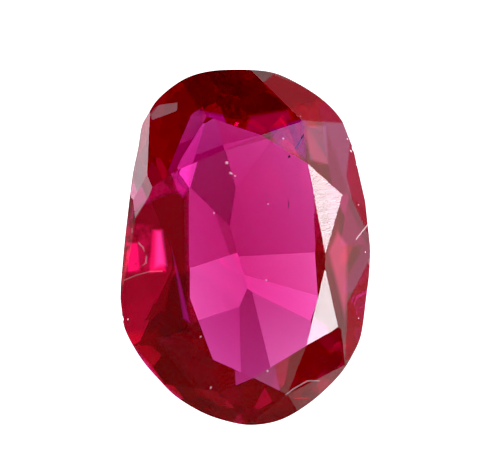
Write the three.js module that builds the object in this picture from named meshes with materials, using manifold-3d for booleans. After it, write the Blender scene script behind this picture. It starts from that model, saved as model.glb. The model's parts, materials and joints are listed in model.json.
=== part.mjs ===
// Faceted oval gemstone, native cut: one solid piece of transparent red tourmaline.
// It is made the way a cutter makes it. A blank with the oval girdle outline is ground flat,
// one facet at a time: table, stars, crown mains, upper girdle facets, then the pavilion.
// Millimetres. While it is being cut, x points east (the stone's right side seen from above the
// table), y points north (along its length) and z points up out of the table, with z = 0 half way
// up the girdle. At the end the stone is turned to lie on the pavilion facet it rests on.
import * as THREE from 'three';
import { mergeVertices } from 'three/addons/utils/BufferGeometryUtils.js';
import Module from 'manifold-3d';

// Overall sizes
const crownHeight = 0.95;
const pavilionDepth = 3.10;
const halfGirdle = 0.12;
const blankMargin = 0.5;
const outlineSteps = 216;
const gemColour = '#b3103f';

// Girdle outline, seen from above the table, going round clockwise from the north end
const girdleOutline = [
  [-0.23, 4.76], [0.60, 4.71], [1.00, 4.59], [1.78, 4.16], [2.31, 3.73], [2.64, 3.30],
  [2.85, 2.88], [3.01, 2.45], [3.14, 1.81], [3.25, 1.16], [3.32, 0.31], [3.33, -0.23],
  [3.30, -0.76], [3.22, -1.40], [3.14, -2.05], [3.05, -2.48], [2.85, -2.90], [2.58, -3.33],
  [2.18, -3.76], [1.67, -4.19], [0.92, -4.62], [0.12, -4.75], [-0.60, -4.62], [-1.19, -4.40],
  [-1.89, -3.97], [-2.31, -3.55], [-2.69, -3.12], [-2.98, -2.69], [-3.20, -2.26], [-3.33, -1.83],
  [-3.36, -1.40], [-3.30, -0.55], [-3.22, 0.31], [-3.12, 1.16], [-3.01, 2.02], [-2.88, 2.66],
  [-2.77, 3.30], [-2.64, 3.53], [-2.37, 3.95], [-1.86, 4.38], [-1.46, 4.59], [-0.95, 4.72],
];

// The table is an uneven octagon. A crown main starts at each corner and reaches the girdle,
// between the first and last point that follow. The east main bites a little below its table
// corner, so it cuts the corner off square.
const mains = [
  { name: 'north', corner: [0.41, 3.00], first: [0.12, 4.76], last: [0.12, 4.76], bite: 0 },
  { name: 'northEast', corner: [1.66, 2.23], first: [2.48, 3.38], last: [2.87, 2.61], bite: 0 },
  { name: 'east', corner: [2.16, -0.36], first: [3.32, -0.10], last: [3.31, -0.50], bite: 0.03 },
  { name: 'southEast', corner: [1.62, -2.61], first: [2.66, -3.14], last: [2.66, -3.14], bite: 0 },
  { name: 'south', corner: [0.21, -3.47], first: [0.04, -4.75], last: [0.04, -4.75], bite: 0 },
  { name: 'southWest', corner: [-0.87, -2.98], first: [-2.21, -3.65], last: [-2.21, -3.65], bite: 0 },
  { name: 'west', corner: [-1.87, -0.31], first: [-3.23, 0.20], last: [-3.23, 0.20], bite: 0 },
  { name: 'northWest', corner: [-1.93, 2.01], first: [-2.56, 3.60], last: [-2.56, 3.60], bite: 0 },
];

// A star facet lies on each table edge: its outer tip, its tilt down from the table in degrees,
// and the girdle point below the tip, where the two upper girdle facets under it meet
const stars = [
  { name: 'northNorthEast', tip: [1.51, 3.37], tilt: 16, girdlePoint: [1.94, 4.04] },
  { name: 'eastNorthEast', tip: [2.65, 1.34], tilt: 23, girdlePoint: [3.24, 1.22] },
  { name: 'eastSouthEast', tip: [2.54, -2.09], tilt: 22, girdlePoint: [3.12, -2.15] },
  { name: 'southSouthEast', tip: [1.11, -3.92], tilt: 21, girdlePoint: [1.40, -4.38] },
  { name: 'southSouthWest', tip: [-0.66, -3.84], tilt: 18, girdlePoint: [-1.00, -4.48] },
  { name: 'westSouthWest', tip: [-2.21, -1.91], tilt: 16, girdlePoint: [-3.30, -1.99] },
  { name: 'westNorthWest', tip: [-2.64, 1.51], tilt: 12, girdlePoint: [-3.00, 2.07] },
  { name: 'northNorthWest', tip: [-1.03, 3.49], tilt: 8, girdlePoint: [-1.49, 4.58] },
];

// One deep, uneven facet on the west side takes the tip off the star above it
const deepWestFacet = [[-2.63, 1.99, 0.615], [-2.49, 1.63, 0.825], [-3.01, 0.68, 0.59]];

// The crown stands high over the girdle on the west side, so a narrow facet trims it there
const westTrim = { azimuth: 176, tilt: 60, through: [-3.25, -0.10, 0.20] };

// Small conchoidal nicks along the girdle: the middle of each scoop and its radius
const nicks = [
  { at: [2.85, 3.04, 0.08], radius: 0.13 },
  { at: [2.99, 2.68, 0.08], radius: 0.15 },
  { at: [3.39, -0.39, 0.06], radius: 0.12 },
  { at: [-3.40, -1.92, 0.12], radius: 0.14 },
];

// Pavilion facets: azimuth from east towards north, tilt up from the girdle plane, in degrees,
// and one point each facet passes through. The first group meets at the keel and the culet.
const culetFacets = [
  { name: 'north', azimuth: 113.7, tilt: 25.3, through: [-0.44, 0.52, -3.06] },
  { name: 'northNorthEast', azimuth: 62.9, tilt: 32.4, through: [-0.25, 1.62, -2.61] },
  { name: 'rest', azimuth: 25.3, tilt: 35.2, through: [-0.20, -0.25, -3.14] },
  { name: 'east', azimuth: 15.7, tilt: 33.8, through: [-0.04, -0.74, -3.125] },
  { name: 'eastSouthEast', azimuth: 6.1, tilt: 31.6, through: [0.04, -1.11, -pavilionDepth] },
  { name: 'southEast', azimuth: -56.9, tilt: 31.2, through: [0.15, -1.19, -3.04] },
  { name: 'south', azimuth: -72.4, tilt: 29.8, through: [0.04, -1.11, -pavilionDepth] },
  { name: 'southWest', azimuth: -131.7, tilt: 37.1, through: [-0.23, -1.62, -2.83] },
  { name: 'westSouthWest', azimuth: -162.1, tilt: 33.1, through: [0.04, -1.11, -pavilionDepth] },
  { name: 'west', azimuth: -175.0, tilt: 33.8, through: [-0.20, -0.25, -3.14] },
  { name: 'northWest', azimuth: 132.9, tilt: 35.1, through: [-1.39, 1.94, -2.267] },
];

// The steeper second group runs down from the girdle. Each facet starts at a girdle point.
const lowerGirdleFacets = [
  { name: 'north', azimuth: 88, tilt: 50, from: [-0.15, 4.76] },
  { name: 'northNorthEast', azimuth: 60, tilt: 50, from: [1.46, 4.35] },
  { name: 'northEast', azimuth: 37, tilt: 48, from: [2.48, 3.52] },
  { name: 'eastNorthEast', azimuth: 17.9, tilt: 45.8, from: [3.30, 0.74] },
  { name: 'east', azimuth: 10.2, tilt: 51.2, from: [3.32, -0.66] },
  { name: 'eastSouthEast', azimuth: -8, tilt: 55, from: [3.17, -1.89] },
  { name: 'southEast', azimuth: -37, tilt: 57, from: [2.61, -3.28] },
  { name: 'southSouthEast', azimuth: -62, tilt: 57, from: [1.46, -4.32] },
  { name: 'south', azimuth: -90, tilt: 58, from: [0.12, -4.75] },
  { name: 'southSouthWest', azimuth: -115, tilt: 56, from: [-1.08, -4.44] },
  { name: 'southWest', azimuth: -139, tilt: 50, from: [-2.42, -3.44] },
  { name: 'westSouthWest', azimuth: -160, tilt: 50, from: [-3.28, -2.07] },
  { name: 'westBySouth', azimuth: -169.4, tilt: 47.4, from: [-3.34, -1.40] },
  { name: 'west', azimuth: -177.4, tilt: 52.5, from: [-3.20, 0.47] },
  { name: 'westNorthWest', azimuth: 172, tilt: 60, from: [-2.98, 2.07] },
  { name: 'northWest', azimuth: 143, tilt: 50, from: [-2.64, 3.55] },
  { name: 'northNorthWest', azimuth: 118, tilt: 50, from: [-1.62, 4.48] },
];

const wasm = await Module();
wasm.setup();

// A three.js geometry as a closed solid that can be cut
function toSolid(geometry) {
  geometry.deleteAttribute('normal');
  geometry.deleteAttribute('uv');
  const merged = mergeVertices(geometry, 1e-5);
  return new wasm.Manifold(new wasm.Mesh({
    numProp: 3,
    vertProperties: new Float32Array(merged.attributes.position.array),
    triVerts: new Uint32Array(merged.index.array),
  }));
}

// A facet is a flat plane: a point on it and the normal that points out of the stone
function facetFromAngles(azimuth, slope, point) {
  const turn = THREE.MathUtils.degToRad(azimuth);
  const lean = THREE.MathUtils.degToRad(slope);
  const normal = new THREE.Vector3(
    Math.sin(lean) * Math.cos(turn),
    Math.sin(lean) * Math.sin(turn),
    Math.cos(lean),
  );
  return { point: new THREE.Vector3(...point), normal };
}

function facetThrough(first, second, third) {
  const a = new THREE.Vector3(...first);
  const b = new THREE.Vector3(...second);
  const c = new THREE.Vector3(...third);
  const normal = b.clone().sub(a).cross(c.clone().sub(a)).normalize();
  if (normal.z < 0) normal.negate();
  return { point: a, normal };
}

// Grinding a facet takes away everything outside its plane
function grind(stone, facet) {
  const lap = new THREE.BoxGeometry(40, 40, 12);
  lap.translate(0, 0, 6);
  lap.applyQuaternion(new THREE.Quaternion().setFromUnitVectors(new THREE.Vector3(0, 0, 1), facet.normal));
  lap.translate(facet.point.x, facet.point.y, facet.point.z);
  return stone.subtract(toSolid(lap));
}

// The blank: the girdle outline as a smooth closed curve, extruded through the full height
const outlineCurve = new THREE.CatmullRomCurve3(
  girdleOutline.map(([x, y]) => new THREE.Vector3(x, y, 0)), true, 'centripetal');
const outlinePoints = outlineCurve.getSpacedPoints(outlineSteps).slice(0, -1);
const outlineShape = new THREE.Shape(outlinePoints.map((p) => new THREE.Vector2(p.x, p.y)));
const blank = new THREE.ExtrudeGeometry(outlineShape, {
  depth: crownHeight + pavilionDepth + 2 * blankMargin,
  bevelEnabled: false,
  steps: 1,
});
blank.translate(0, 0, -pavilionDepth - blankMargin);

const facets = [];

// Table
facets.push(facetFromAngles(0, 0, [0, 0, crownHeight]));

// Stars, each through its table edge, and the height of each star's tip
const starTips = stars.map((star, i) => {
  const start = mains[i].corner;
  const end = mains[(i + 1) % mains.length].corner;
  const edge = new THREE.Vector2(end[0] - start[0], end[1] - start[1]).normalize();
  const outward = new THREE.Vector2(-edge.y, edge.x);
  const toTip = new THREE.Vector2(star.tip[0] - start[0], star.tip[1] - start[1]);
  if (outward.dot(toTip) < 0) outward.negate();
  const azimuth = THREE.MathUtils.radToDeg(Math.atan2(outward.y, outward.x));
  facets.push(facetFromAngles(azimuth, star.tilt, [start[0], start[1], crownHeight]));
  const drop = outward.dot(toTip) * Math.tan(THREE.MathUtils.degToRad(star.tilt));
  return [star.tip[0], star.tip[1], crownHeight - drop];
});

// Crown mains, each through its table corner and the two star tips beside it
const mainFacets = mains.map((main, i) => {
  const before = starTips[(i + stars.length - 1) % stars.length];
  const facet = facetThrough([main.corner[0], main.corner[1], crownHeight], before, starTips[i]);
  facet.point.z -= main.bite;
  facets.push(facet);
  return facet;
});

// The height of a facet over a point of the girdle
function onFacet({ point, normal }, [x, y]) {
  return [x, y, point.z - (normal.x * (x - point.x) + normal.y * (y - point.y)) / normal.z];
}

function lowered([x, y, z], bite) {
  return [x, y, z - bite];
}

// Upper girdle facets, two under each star. Each runs through the star tip, the girdle end of
// the main beside it and the girdle point between. The deep west facet stands in for one of them.
stars.forEach((star, i) => {
  const next = (i + 1) % mains.length;
  const middle = [star.girdlePoint[0], star.girdlePoint[1], halfGirdle];
  const nearEnd = onFacet(mainFacets[i], mains[i].last);
  const farEnd = onFacet(mainFacets[next], mains[next].first);
  if (star.name === 'westNorthWest') facets.push(facetThrough(...deepWestFacet));
  else facets.push(facetThrough(lowered(starTips[i], mains[i].bite), nearEnd, middle));
  facets.push(facetThrough(lowered(starTips[i], mains[next].bite), middle, farEnd));
});
facets.push(facetFromAngles(westTrim.azimuth, westTrim.tilt, westTrim.through));

// Pavilion: the same angles, with the normal pointing down
function pavilionFacet(azimuth, tilt, point) {
  const facet = facetFromAngles(azimuth, tilt, point);
  facet.normal.z = -facet.normal.z;
  return facet;
}
lowerGirdleFacets.forEach((f) => {
  facets.push(pavilionFacet(f.azimuth, f.tilt, [f.from[0], f.from[1], -halfGirdle]));
});
culetFacets.forEach((f) => {
  facets.push(pavilionFacet(f.azimuth, f.tilt, f.through));
});

let stone = toSolid(blank);
for (const facet of facets) stone = grind(stone, facet);

// The nicks are scooped out of the girdle last
for (const nick of nicks) {
  const scoop = new THREE.IcosahedronGeometry(nick.radius, 2);
  scoop.translate(...nick.at);
  stone = stone.subtract(toSolid(scoop));
}

const cut = stone.getMesh();
const geometry = new THREE.BufferGeometry();
geometry.setAttribute('position', new THREE.BufferAttribute(new Float32Array(cut.vertProperties), 3));
geometry.setIndex(new THREE.BufferAttribute(new Uint32Array(cut.triVerts), 1));

// Turn the stone so that the rest facet faces down and the long axis runs along +X
const rest = culetFacets.find((f) => f.name === 'rest');
const down = pavilionFacet(rest.azimuth, rest.tilt, rest.through).normal;
const up = down.clone().negate();
const north = new THREE.Vector3(0, 1, 0);
const along = north.clone().addScaledVector(up, -north.dot(up)).normalize();
const across = up.clone().cross(along);
const lay = new THREE.Matrix4().makeBasis(along, across, up).transpose();
geometry.applyMatrix4(lay);

// The origin is at the bottom centre of the resting stone
geometry.computeBoundingBox();
const box = geometry.boundingBox;
const centre = box.getCenter(new THREE.Vector3());
geometry.translate(-centre.x, -centre.y, -box.min.z);
geometry.computeVertexNormals();

const gemstone = new THREE.Mesh(geometry, new THREE.MeshStandardMaterial({
  color: gemColour,
  roughness: 0.05,
  metalness: 0,
}));
gemstone.name = 'gemstone';

const object = new THREE.Group();
object.add(gemstone);

export default object;
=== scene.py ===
# Faceted oval gemstone: the looks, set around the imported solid. Metres, +Z up, as the frame gives them.
import json
import math

import bmesh
import bpy
from mathutils import Matrix, Vector
from mathutils.bvhtree import BVHTree


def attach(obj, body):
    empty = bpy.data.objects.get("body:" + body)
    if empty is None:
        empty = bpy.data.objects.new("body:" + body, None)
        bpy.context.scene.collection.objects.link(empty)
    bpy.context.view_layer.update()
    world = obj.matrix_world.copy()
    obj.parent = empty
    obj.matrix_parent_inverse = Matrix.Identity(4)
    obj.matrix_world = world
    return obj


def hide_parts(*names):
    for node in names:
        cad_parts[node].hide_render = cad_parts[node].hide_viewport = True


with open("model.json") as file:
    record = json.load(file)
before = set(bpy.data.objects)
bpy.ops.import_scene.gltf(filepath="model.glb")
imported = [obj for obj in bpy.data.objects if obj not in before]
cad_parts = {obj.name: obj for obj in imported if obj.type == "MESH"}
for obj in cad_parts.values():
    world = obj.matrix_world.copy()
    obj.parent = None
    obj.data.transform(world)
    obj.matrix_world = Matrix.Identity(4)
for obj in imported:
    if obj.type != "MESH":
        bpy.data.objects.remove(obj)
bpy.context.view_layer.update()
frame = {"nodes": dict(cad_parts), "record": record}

# The stone's own directions. A cutter looks straight down on the table, with the stone's north end
# away. The solid already lies on its rest facet, so the table mount gives the way that it faces.
mm = 0.001
to_mm = 1000
mounts = {mount["name"]: mount for mount in frame["record"]["mounts"]}
table_centre = Vector(mounts["table"]["pos_m"])
table_up = Vector(mounts["table"]["axis"]).normalized()
stone_north = Vector((0, 1, 0)).cross(table_up).normalized()
stone_east = stone_north.cross(table_up).normalized()

# The middle of the girdle, from which places on the stone are measured east, north and up
crown_height = 0.95
table_east = 0.118
table_north = -0.125
table_from_middle = stone_east * table_east + stone_north * table_north + table_up * crown_height
girdle_middle = table_centre - table_from_middle * mm

# The camera looks straight down on the table through a long lens, as a stone is photographed for
# sale, and its top edge is turned to the stone's north end.
lens_distance = 0.180
sensor_width = 36.0
field_width = 13.38 * mm
aim_north_of_table = 0.46 * mm

camera_data = bpy.data.cameras.new("camera")
camera_data.sensor_width = sensor_width
camera_data.lens = sensor_width * lens_distance / field_width
camera_data.clip_start = 0.01
camera_data.clip_end = 10
camera = bpy.data.objects.new("camera", camera_data)
bpy.context.collection.objects.link(camera)
aim = table_centre - table_up * crown_height * mm + stone_north * aim_north_of_table
camera_turn = Matrix((stone_east, stone_north, table_up)).transposed()
camera.matrix_world = Matrix.Translation(aim + table_up * lens_distance) @ camera_turn.to_4x4()
bpy.context.scene.camera = camera


class Shade:
    """One output of a shader node. Sums on it add Math nodes to the same material."""

    def __init__(self, socket):
        self.socket = socket

    @staticmethod
    def node(tree, kind, settings, values):
        """A new node of a kind: its settings are set first, then its sockets get values or links."""
        made = tree.nodes.new(kind)
        for name, value in settings.items():
            setattr(made, name, value)
        for place, value in values.items():
            if isinstance(value, Shade):
                tree.links.new(value.socket, made.inputs[place])
            else:
                made.inputs[place].default_value = value
        return made

    def maths(self, operation, *terms):
        """A Math node on a few terms, in their order."""
        tree = self.socket.id_data
        kind = {"operation": operation}
        return Shade(Shade.node(tree, "ShaderNodeMath", kind, dict(enumerate(terms))).outputs[0])

    def __add__(self, other):
        return self.maths("ADD", self, other)

    def __radd__(self, other):
        return self.maths("ADD", other, self)

    def __sub__(self, other):
        return self.maths("SUBTRACT", self, other)

    def __rsub__(self, other):
        return self.maths("SUBTRACT", other, self)

    def __mul__(self, other):
        return self.maths("MULTIPLY", self, other)

    def __rmul__(self, other):
        return self.maths("MULTIPLY", other, self)

    def __abs__(self):
        return self.maths("ABSOLUTE", self)

    def lower(self, other):
        return self.maths("MINIMUM", self, other)

    def higher(self, other):
        return self.maths("MAXIMUM", self, other)

    def along(self, direction):
        """How far a vector goes along a direction."""
        values = {0: self, 1: tuple(direction)}
        kind = {"operation": "DOT_PRODUCT"}
        return Shade(Shade.node(self.socket.id_data, "ShaderNodeVectorMath", kind, values).outputs["Value"])

    def rise(self, low, high):
        """A soft step from 0 where this is low to 1 where it is high."""
        values = {"Value": self, "From Min": low, "From Max": high, "To Min": 0.0, "To Max": 1.0}
        kind = {"interpolation_type": "SMOOTHSTEP"}
        return Shade(Shade.node(self.socket.id_data, "ShaderNodeMapRange", kind, values).outputs[0])


def mixed(tree, factor, first, second):
    """A colour part way from the first to the second."""
    kind = {"data_type": "RGBA", "blend_type": "MIX"}
    node = Shade.node(tree, "ShaderNodeMix", kind, {0: factor, 6: first, 7: second})
    return Shade(node.outputs[2])


# The stone is one piece of transparent tourmaline, ground flat facet by facet on a lap and
# polished. The edges where the facets meet have worn very slightly round.
edge_wear = 0.010
least_edge_turn = math.radians(2.0)
flat_enough = math.radians(0.4)
same_facet = math.radians(1.0)
same_place = 1e-4


def joined_copy(node):
    """A copy of a CAD node's mesh in millimetres, with its loose triangles joined into whole facets."""
    shape = bmesh.new()
    shape.from_mesh(frame["nodes"][node].data)
    bmesh.ops.scale(shape, vec=(to_mm, to_mm, to_mm), verts=shape.verts)
    bmesh.ops.remove_doubles(shape, verts=shape.verts, dist=same_place)
    bmesh.ops.dissolve_limit(shape, angle_limit=flat_enough, verts=shape.verts, edges=shape.edges)
    return shape


stone_shape = joined_copy("gemstone")
sharp_edges = [edge for edge in stone_shape.edges if edge.calc_face_angle(0) > least_edge_turn]
bmesh.ops.bevel(stone_shape, geom=sharp_edges, offset=edge_wear, offset_type="OFFSET", segments=1,
                profile=0.5, affect="EDGES", clamp_overlap=True, material=-1)

# In a real stone a back facet looks light or dark by what it mirrors. This room is simpler, so each
# back facet has a tint that stands in for that. Each line gives where a facet faces, to the nearest
# degree, then its tint and the line that the tinted zone lies left of, if it fills only one end.
deep = (0.07, 0.01, 0.04)
dark = (0.13, 0.05, 0.12)
dusky = (0.21, 0.04, 0.11)
rosy = (0.35, 0.09, 0.24)
lilac = (0.52, 0.32, 0.57)
magenta = (0.90, 0.20, 0.90)
pale = (0.75, 0.58, 0.64)
cool = (0.48, 0.75, 0.55)
faint = (0.72, 0.86, 0.77)
untinted = (1.0, 1.0, 1.0)
north_split = ((-1.27, 2.34), (-0.40, 2.66))
north_north_east_split = ((-0.50, 2.62), (0.40, 2.87))
west_split = ((-0.90, 1.14), (-0.36, -0.39))
zones = [
    ("north", 114, 25, deep, None),
    ("north, upper end", 114, 25, dark, north_split),
    ("north north east", 63, 32, rosy, None),
    ("north north east, upper end", 63, 32, dusky, north_north_east_split),
    ("rest", 25, 35, rosy, None),
    ("east", 16, 34, pale, None),
    ("east south east", 6, 32, untinted, None),
    ("south east", -57, 31, cool, None),
    ("south", -72, 30, dark, None),
    ("south west", -132, 37, lilac, None),
    ("west south west", -162, 33, faint, None),
    ("west", -175, 34, rosy, None),
    ("west, at the keel", -175, 34, dusky, west_split),
    ("north west", 133, 35, magenta, None),
]
tint_layer = stone_shape.loops.layers.float_color.new("facet_tint")
for face in stone_shape.faces:
    for loop in face.loops:
        loop[tint_layer] = (1, 1, 1, 1)
for name, azimuth, tilt, tint, line in zones:
    turn = math.radians(azimuth)
    lean = math.radians(tilt)
    level = stone_east * math.cos(turn) + stone_north * math.sin(turn)
    facet_out = level * math.sin(lean) - table_up * math.cos(lean)
    facet = [face for face in stone_shape.faces if face.normal.angle(facet_out) < same_facet]
    if line is not None:
        (start_east, start_north), (end_east, end_north) = line
        start = girdle_middle / mm + stone_east * start_east + stone_north * start_north
        run = stone_east * (end_east - start_east) + stone_north * (end_north - start_north)
        left = table_up.cross(run).normalized()
        parts = set(facet)
        for face in facet:
            parts.update(face.edges)
            parts.update(face.verts)
        bmesh.ops.bisect_plane(stone_shape, geom=list(parts), plane_co=start, plane_no=left)
        facet = [face for face in stone_shape.faces if face.normal.angle(facet_out) < same_facet
                 and (face.calc_center_median() - start).dot(left) > 0]
    for face in facet:
        for loop in face.loops:
            loop[tint_layer] = (*tint, 1)
stone_skin = BVHTree.FromBMesh(stone_shape)
bmesh.ops.scale(stone_shape, vec=(mm, mm, mm), verts=stone_shape.verts)
stone_mesh = bpy.data.meshes.new("stone")
stone_shape.to_mesh(stone_mesh)
stone_shape.free()
stone = bpy.data.objects.new("stone", stone_mesh)
bpy.context.collection.objects.link(stone)

# The tourmaline is clear pink-red. Its colour comes from how much light each millimetre takes, and
# fine silk inside scatters a little red light. The surface is polished, but for a few rubbed marks.
refractive_index = 1.63
absorbed_per_metre = 1000
colour_let_through = (0.90, 0.08, 0.62, 1)
silk_per_metre = 70
silk_colour = (1.0, 0.0, 0.02, 1)

gem_material = bpy.data.materials.new("clear_tourmaline")
gem_material.use_nodes = True
gem = gem_material.node_tree
gem.nodes.clear()
place = Shade(Shade.node(gem, "ShaderNodeTexCoord", {}, {}).outputs["Object"])
east = (place.along(stone_east) - girdle_middle.dot(stone_east)) * to_mm
north = (place.along(stone_north) - girdle_middle.dot(stone_north)) * to_mm
height = (place.along(table_up) - girdle_middle.dot(table_up)) * to_mm
crown = height.rise(0.00, 0.05)


def patch(corners, soft):
    """A mask that is 1 inside a many-sided patch seen from above the table, corners anticlockwise."""
    inside = None
    for (x0, y0), (x1, y1) in zip(corners, corners[1:] + corners[:1]):
        length = math.hypot(x1 - x0, y1 - y0)
        ax = -(y1 - y0) / length
        ay = (x1 - x0) / length
        side = east * ax + north * ay - (x0 * ax + y0 * ay)
        inside = side if inside is None else inside.lower(side)
    return inside.rise(-soft, soft) * crown


# Parts of the crown are tinted for the same reason. Each patch has its corners, the softness of its
# border and its tint.
west_shoulder = [(-3.76, -0.07), (-3.76, -2.61), (-2.02, -2.42), (-1.51, -2.21), (-1.57, 1.49),
                 (-2.07, 1.49), (-2.82, 1.14)]
south_west_shoulder = [(-3.89, -2.34), (-3.09, -4.08), (-1.35, -5.15), (-0.79, -4.29), (-2.40, -2.26)]
north_shoulder = [(-1.81, 4.59), (-1.22, 3.63), (0.01, 3.36), (2.26, 4.00), (1.19, 5.29), (-0.95, 5.29)]
north_east_veil = [(1.51, 3.36), (1.62, 2.34), (2.80, 1.38), (3.44, -0.39), (3.55, 1.27), (2.74, 3.33)]
tint = Shade(Shade.node(gem, "ShaderNodeAttribute", {"attribute_name": "facet_tint"}, {}).outputs["Color"])
for corners, soft, colour in [
    (west_shoulder, 0.09, (0.26, 0.0, 0.01, 1)),
    (south_west_shoulder, 0.15, (0.66, 0.0, 0.01, 1)),
    (north_shoulder, 0.06, (0.35, 0.02, 0.02, 1)),
    (north_east_veil, 0.06, (0.30, 0.5, 0.8, 1)),
]:
    tint = mixed(gem, patch(corners, soft), tint, colour)

# A feather, a crack under the crown, catches the light on the west side beside a small pit. The
# light that it catches is painted as a glow.
flash_strip = patch([(-2.48, 0.47), (-2.56, -0.66), (-2.13, -0.63), (-2.14, -0.28), (-2.26, 0.47)], 0.045)
flash_core = patch([(-2.37, 0.41), (-2.40, -0.50), (-2.15, -0.44), (-2.26, 0.41)], 0.10)
flash_rim = patch([(-3.20, 0.12), (-3.12, -0.63), (-2.82, -0.60), (-2.90, 0.12)], 0.05)
flash_haze = patch([(-3.30, 0.63), (-3.25, -0.66), (-2.50, -0.66), (-2.50, 0.58)], 0.08)
grain = {"Vector": place, "Scale": 2600.0, "Detail": 3.0}
waves = Shade(Shade.node(gem, "ShaderNodeTexNoise", {}, grain).outputs["Fac"])
flash = flash_strip * 0.75 + flash_rim * waves.rise(0.25, 0.50) + flash_haze * waves.rise(0.3, 0.7) * 0.34
flash_colour = (0.85, 0.004, 0.12, 1)
core_colour = (0.95, 0.05, 0.40, 1)
flash_light = mixed(gem, flash_core * 0.8, mixed(gem, flash, (0, 0, 0, 1), flash_colour), core_colour)

# Fainter light shows on the east side, at the north end and beside the table, painted the same way
east_gleam = [(2.23, -0.12), (2.64, -1.78), (2.69, -1.40), (2.69, 0.07), (2.45, 0.41)]
north_gleam = [(0.12, 3.52), (0.01, 3.14), (0.44, 3.01), (1.24, 3.41), (1.14, 3.68)]
table_wedge = [(-1.94, 1.97), (-1.83, 1.54), (-1.67, 1.35), (-1.51, 1.59), (-1.49, 2.23)]
west_sliver = [(-1.91, -0.28), (-1.65, -1.89), (-1.49, -1.99), (-1.75, -0.87)]
veil_strip = [(1.60, 3.24), (1.72, 2.34), (2.20, 2.22), (2.15, 3.26)]
lilac_corner = [(0.66, 3.12), (0.82, 2.72), (1.59, 2.40), (1.62, 3.36), (1.46, 3.41)]
for corners, soft, colour in [
    (east_gleam, 0.07, (0.32, 0.03, 0.10, 1)),
    (north_gleam, 0.09, (0.16, 0.0, 0.045, 1)),
    (table_wedge, 0.05, (0.26, 0.005, 0.14, 1)),
    (west_sliver, 0.04, (0.17, 0.004, 0.10, 1)),
    (north_east_veil, 0.06, (0.16, 0.02, 0.05, 1)),
    (veil_strip, 0.04, (0.08, 0.05, 0.11, 1)),
    (lilac_corner, 0.07, (0.10, 0.0, 0.14, 1)),
]:
    flash_light = mixed(gem, patch(corners, soft), flash_light, colour)


def stroke(points, width):
    """A mask along a scratch through a few points, seen from above the table."""
    nearest = None
    for (x0, y0), (x1, y1) in zip(points, points[1:]):
        length = math.hypot(x1 - x0, y1 - y0)
        ux = (x1 - x0) / length
        uy = (y1 - y0) / length
        run = (east - x0) * ux + (north - y0) * uy
        off = abs((north - y0) * ux - (east - x0) * uy)
        past = abs(run - length / 2) - length / 2
        apart = off.higher(past)
        nearest = apart if nearest is None else nearest.lower(apart)
    return nearest.rise(width, width * 0.3) * crown


# Rubbed and chipped places, where the polish is gone and the surface looks pale
rubbed_strip = [(-2.56, 3.63), (-2.50, 3.41), (-1.83, 3.65), (-1.82, 3.88), (-2.34, 3.81)]
feather_edge = [(-3.24, -0.87), (-2.93, -0.74), (-2.56, -0.64), (-2.23, -0.63)]
pit_edge = [(-3.04, 0.63), (-3.01, 0.28), (-2.74, 0.01), (-2.64, -0.20), (-2.66, -0.41), (-2.82, -0.55)]
curved_crack = [(1.08, -3.92), (1.29, -3.76), (1.65, -3.56), (1.96, -3.56)]
east_scratch = [(3.28, 0.63), (2.96, 0.23)]
rubbed = patch(rubbed_strip, 0.012) * 0.26
rubbed = rubbed.higher(stroke(feather_edge, 0.025) * 0.20)
rubbed = rubbed.higher(stroke(pit_edge, 0.030) * waves.rise(0.45, 0.6) * 0.35)
rubbed = rubbed.higher(stroke(curved_crack, 0.025) * 0.30)
rubbed = rubbed.higher(stroke(east_scratch, 0.025) * 0.6)

# The lap left fine lines across the facets. They are deepest on the east star.
across_lines = {0: east * 2.2 + north * 0.5, 1: north * 15 - east * 4, 2: 0.0}
lines_place = Shade(Shade.node(gem, "ShaderNodeCombineXYZ", {}, across_lines).outputs[0])
streaks = {"Vector": lines_place, "Scale": 1.0, "Detail": 2.0}
lap_lines = Shade(Shade.node(gem, "ShaderNodeTexNoise", {}, streaks).outputs["Fac"])
east_star = patch([(1.62, 2.34), (1.94, -0.33), (2.15, -0.39), (2.80, 1.38), (1.67, 2.40)], 0.05)
depth = lap_lines * (east_star + crown * 0.06)
lapped = patch([(1.71, 2.18), (2.14, -0.09), (2.57, 1.39)], 0.02)
rubbed = rubbed.higher(lapped * lap_lines.rise(0.48, 0.60) * 0.55)
lap_line_height = 4e-6
bump = {"Strength": 1.0, "Distance": lap_line_height, "Height": depth}
relief = Shade(Shade.node(gem, "ShaderNodeBump", {}, bump).outputs[0])
polish = Shade.node(gem, "ShaderNodeBsdfPrincipled", {}, {
    "Base Color": tint,
    "Roughness": 0.0,
    "IOR": refractive_index,
    "Transmission Weight": 1.0,
    "Emission Color": flash_light,
    "Emission Strength": 1.0,
    "Normal": relief,
})
scuff = Shade.node(gem, "ShaderNodeBsdfPrincipled", {}, {
    "Base Color": (0.85, 0.62, 0.70, 1),
    "Roughness": 0.45,
})
# Painted shade: a deep red with no shine, laid over the north-east and east rim facets
painted_shade_red = Shade.node(gem, "ShaderNodeBsdfPrincipled", {}, {
    "Base Color": (0.30, 0.0, 0.01, 1),
    "Roughness": 0.6,
    "Specular IOR Level": 0.0,
})

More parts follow.
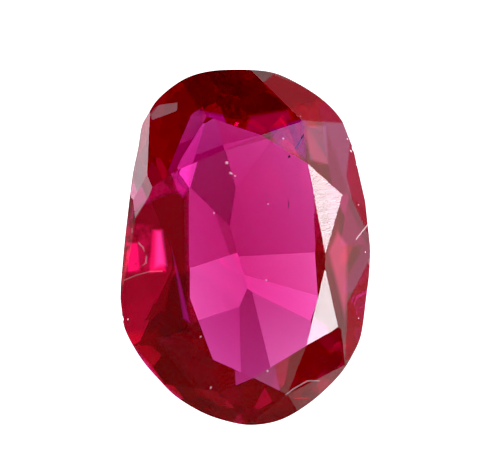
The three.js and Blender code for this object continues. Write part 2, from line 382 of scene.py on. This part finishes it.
# The facets at the north-east and east rim would mirror too much of this room, so a partly opaque
# deep red covers them: painted shade.
north_east_rim = [(0.44, 4.38), (1.51, 3.39), (2.66, 3.33), (2.85, 3.68), (1.99, 4.75), (1.19, 5.02)]
east_rim_low = [(3.28, -0.39), (2.72, -1.46), (2.66, -3.01), (3.33, -3.01), (3.87, -0.39)]
east_rim_top = [(2.80, 2.88), (2.69, 1.91), (2.85, 1.27), (3.33, 0.25), (3.87, 0.25), (3.60, 2.88)]
painted_shade_mask = patch(north_east_rim, 0.03) * 0.62
painted_shade_mask = painted_shade_mask.higher(patch(east_rim_low, 0.03) * 0.6)
painted_shade_mask = painted_shade_mask.higher(patch(east_rim_top, 0.03) * 0.6)
cover = {0: painted_shade_mask, 1: Shade(polish.outputs[0]), 2: Shade(painted_shade_red.outputs[0])}
clear = Shade.node(gem, "ShaderNodeMixShader", {}, cover)
wear = {0: rubbed, 1: Shade(clear.outputs[0]), 2: Shade(scuff.outputs[0])}
skin = Shade.node(gem, "ShaderNodeMixShader", {}, wear)

dye = {"Color": colour_let_through, "Density": absorbed_per_metre}
taken = Shade.node(gem, "ShaderNodeVolumeAbsorption", {}, dye)
silk = Shade.node(gem, "ShaderNodeVolumeScatter", {}, {"Color": silk_colour, "Density": silk_per_metre})
inside = Shade.node(gem, "ShaderNodeAddShader", {}, {0: Shade(taken.outputs[0]), 1: Shade(silk.outputs[0])})
Shade.node(gem, "ShaderNodeOutputMaterial", {}, {
    "Surface": Shade(skin.outputs[0]),
    "Volume": Shade(inside.outputs[0]),
})
stone_mesh.materials.append(gem_material)
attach(stone, "root")
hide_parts("gemstone")

# A few natural inclusions lie just under the surface: pale specks, of which the last are chips at the
# rim, and thin dark needles. Each line gives its place east and north in millimetres, how deep it lies,
# its length and width, and the way it points in degrees.
specks = [
    (-0.50, 2.26, 0.10, 0.085, 0.080, 0),
    (-0.39, 1.98, 0.10, 0.100, 0.055, -30),
    (-0.28, 1.91, 0.10, 0.060, 0.035, -40),
    (-0.92, -3.73, 0.05, 0.080, 0.040, 60),
    (0.58, -3.28, 0.05, 0.050, 0.050, 0),
    (-1.19, -2.37, 0.05, 0.060, 0.030, 45),
    (1.46, 3.49, 0.05, 0.040, 0.040, 0),
    (1.00, 2.90, 0.06, 0.055, 0.050, 0),
    (0.60, 1.16, 0.10, 0.040, 0.040, 0),
    (0.55, -0.87, 0.10, 0.045, 0.040, 0),
    (-0.84, 0.92, 0.10, 0.040, 0.035, 0),
    (2.72, 2.90, 0.01, 0.060, 0.030, 110),
    (2.81, 2.58, 0.01, 0.090, 0.040, 120),
    (2.96, 2.21, 0.01, 0.060, 0.030, 100),
    (3.01, 1.14, 0.02, 0.045, 0.040, 0),
    (3.20, -0.12, 0.01, 0.050, 0.030, 90),
    (3.01, -1.89, 0.02, 0.040, 0.040, 0),
    (-3.14, -1.91, 0.01, 0.070, 0.035, 70),
]
needles = [
    (1.43, 2.80, 0.06, 0.520, 0.065, 60),
    (1.16, 2.42, 0.12, 0.090, 0.060, 50),
    (1.15, 1.14, 0.12, 0.200, 0.030, 90),
]
well_above = 5
# The pale specks are real marks, but their faint glow is a painted highlight. The needles do not glow.
for name, marks, colour, glow_strength in [
    ("specks", specks, (0.95, 0.72, 0.84, 1), 0.35),
    ("needles", needles, (0.04, 0.0, 0.03, 1), 0.0),
]:
    shape = bmesh.new()
    for east_at, north_at, under, long, wide, points in marks:
        above = girdle_middle / mm + stone_east * east_at + stone_north * north_at + table_up * well_above
        surface = stone_skin.ray_cast(above, -table_up)[0]
        turn = math.radians(points)
        lengthwise = stone_east * math.cos(turn) + stone_north * math.sin(turn)
        crosswise = table_up.cross(lengthwise)
        axes = Matrix((lengthwise * long / 2, crosswise * wide / 2, table_up * wide / 2)).transposed()
        at = Matrix.Translation(surface - table_up * under) @ axes.to_4x4()
        bmesh.ops.create_icosphere(shape, subdivisions=2, radius=1.0, matrix=at)
    bmesh.ops.scale(shape, vec=(mm, mm, mm), verts=shape.verts)
    bmesh.ops.recalc_face_normals(shape, faces=shape.faces)
    mesh = bpy.data.meshes.new(name)
    shape.to_mesh(mesh)
    shape.free()
    marked = bpy.data.objects.new(name, mesh)
    bpy.context.collection.objects.link(marked)
    look = bpy.data.materials.new(name)
    look.use_nodes = True
    look.node_tree.nodes.clear()
    grit_and_glow = Shade.node(look.node_tree, "ShaderNodeBsdfPrincipled", {}, {
        "Base Color": colour,
        "Roughness": 0.5,
        "Emission Color": colour,
        "Emission Strength": glow_strength,
    })
    Shade.node(look.node_tree, "ShaderNodeOutputMaterial", {}, {"Surface": Shade(grit_and_glow.outputs[0])})
    mesh.materials.append(look)
    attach(marked, "root")

# The floor is a plain sheet of grey matt plastic, laid flat just under the stone. Near the stone it
# looks pale, because it glows softly in a round spot: a painted pool of light, as if lit from below. The
# glow fades out a few centimetres from the stone.
floor_gap = 0.012 * mm
floor_size = 1.0
floor_mesh = bpy.data.meshes.new("floor")
floor_shape = bmesh.new()
bmesh.ops.create_grid(floor_shape, x_segments=1, y_segments=1, size=floor_size)
bmesh.ops.translate(floor_shape, vec=(0, 0, -floor_gap), verts=floor_shape.verts)
floor_shape.to_mesh(floor_mesh)
floor_shape.free()
floor = bpy.data.objects.new("floor", floor_mesh)
bpy.context.collection.objects.link(floor)
floor_material = bpy.data.materials.new("glowing_grey_sheet")
floor_material.use_nodes = True
sheet = floor_material.node_tree
sheet.nodes.clear()
spot = Shade(Shade.node(sheet, "ShaderNodeTexCoord", {}, {}).outputs["Object"])
reach_kind = {"operation": "LENGTH"}
reach = Shade(Shade.node(sheet, "ShaderNodeVectorMath", reach_kind, {0: spot}).outputs["Value"]) * to_mm
spot_end = 30.0
spot_full = 11.0
spot_light = 1.36
far_light = 0.16
near = reach.rise(spot_end, spot_full)
glow = near * spot_light + far_light
white_glow = {0: (1.0, 1.0, 1.0), "Scale": glow}
glow_colour = Shade(Shade.node(sheet, "ShaderNodeVectorMath", {"operation": "SCALE"}, white_glow).outputs[0])
sheet_look = Shade.node(sheet, "ShaderNodeBsdfPrincipled", {}, {
    "Base Color": (0.25, 0.255, 0.265, 1),
    "Roughness": 0.8,
    "Emission Color": glow_colour,
    "Emission Strength": 1.0,
})
Shade.node(sheet, "ShaderNodeOutputMaterial", {}, {"Surface": Shade(sheet_look.outputs[0])})
floor_mesh.materials.append(floor_material)


# The light is soft. A low card in front of the stone shines in the star facets, two small windows
# behind it shine in the west strip, and three faint boxes and a pale room fill in the rest.
softbox_distance = 0.30


def softbox(name, azimuth, elevation, width, height, brightness, colour):
    """A soft light panel facing the stone. Azimuth 0 is behind the stone, along +Y, and 90 is at +X."""
    panel = bpy.data.lights.new(name, "AREA")
    panel.shape = "RECTANGLE"
    panel.size = width
    panel.size_y = height
    panel.energy = brightness * math.pi * width * height
    panel.color = colour
    lamp = bpy.data.objects.new(name, panel)
    bpy.context.collection.objects.link(lamp)
    turn = math.radians(azimuth)
    lift = math.radians(elevation)
    toward = Vector((math.sin(turn) * math.cos(lift), math.cos(turn) * math.cos(lift), math.sin(lift)))
    lamp.location = toward * softbox_distance
    lamp.rotation_euler = toward.to_track_quat("Z", "Y").to_euler()
    lamp.visible_camera = False


softbox("front_card", 178, 13, 0.183, 0.068, 12.5, (0.92, 0.97, 1.0))
softbox("back_window", 27, 30, 0.045, 0.045, 2.9, (0.70, 0.90, 1.0))
softbox("back_sill", 23, 12, 0.030, 0.030, 3.6, (0.85, 0.90, 1.0))
softbox("front_box", 196, 40, 0.20, 0.16, 0.65, (1.0, 1.0, 1.0))
softbox("right_box", 142, 25, 0.106, 0.053, 1.7, (0.80, 0.85, 1.0))
softbox("back_box", -8, 40, 0.106, 0.106, 0.45, (1.0, 1.0, 1.0))

# The room's right side is darker. The north facets mirror it.
room_brightness = 0.468
shade_depth = 0.40
toward_shade = (0.95, -0.25, 0.2)
world = bpy.data.worlds.new("room")
world.use_nodes = True
room = world.node_tree
room.nodes.clear()
looking = Shade(Shade.node(room, "ShaderNodeTexCoord", {}, {}).outputs["Generated"])
shade_side = looking.along(toward_shade).rise(0.55, 0.90)
room_light = room_brightness - shade_side * shade_depth
backdrop = Shade.node(room, "ShaderNodeBackground", {}, {"Color": (1, 1, 1, 1), "Strength": room_light})
Shade.node(room, "ShaderNodeOutputWorld", {}, {"Surface": Shade(backdrop.outputs[0])})

# The picture: plain colours with a slightly deep black, and enough bounces for light inside a stone
black_level = 0.025
scene = bpy.context.scene
scene.world = world
scene.view_settings.view_transform = "Standard"
scene.view_settings.use_curve_mapping = True
scene.view_settings.curve_mapping.black_level = (black_level, black_level, black_level)
scene.view_settings.curve_mapping.update()
scene.cycles.sampling_pattern = "TABULATED_SOBOL"
scene.cycles.max_bounces = 32
scene.cycles.glossy_bounces = 24
scene.cycles.transmission_bounces = 24
scene.cycles.volume_bounces = 4
